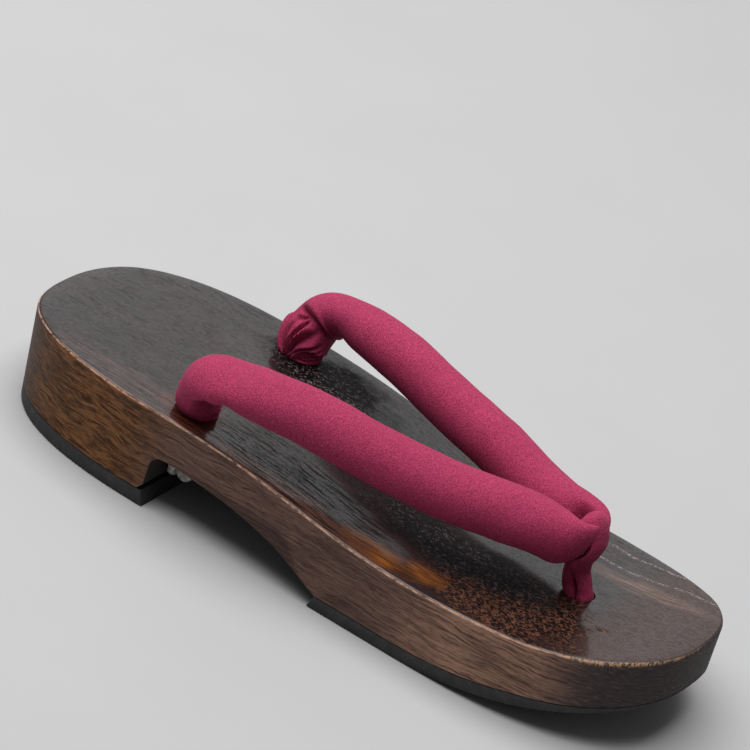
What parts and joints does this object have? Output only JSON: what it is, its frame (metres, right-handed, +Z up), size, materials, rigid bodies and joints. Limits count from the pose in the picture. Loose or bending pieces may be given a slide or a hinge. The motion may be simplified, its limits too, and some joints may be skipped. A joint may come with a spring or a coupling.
{
  "type": "geta sandal",
  "caption": "Wooden geta sandal with a dark burned finish, padded crimson crepe straps, a cloth toe loop and thin black rubber pads under heel and forefoot.",
  "frame": {"origin": "on the floor, under the middle of the shoe's bounding box", "axes": "+Y from toe to heel, +Z up, +X to the left of a wearer, who looks along -Y"},
  "size_m": [0.0904, 0.2447, 0.0587],
  "materials": {
    "wood": "satin",
    "rubber": "matte",
    "cloth": "matte",
    "cord": "matte"
  },
  "bodies": {
    "root": {"wood_base": "wood", "heel_rubber": "rubber", "forefoot_rubber": "rubber", "hanao_straps": "cloth", "toe_loop": "cloth", "rear_knot_right": "cord", "rear_knot_left": "cord", "front_knot": "cord"}
  },
  "joints": []
}
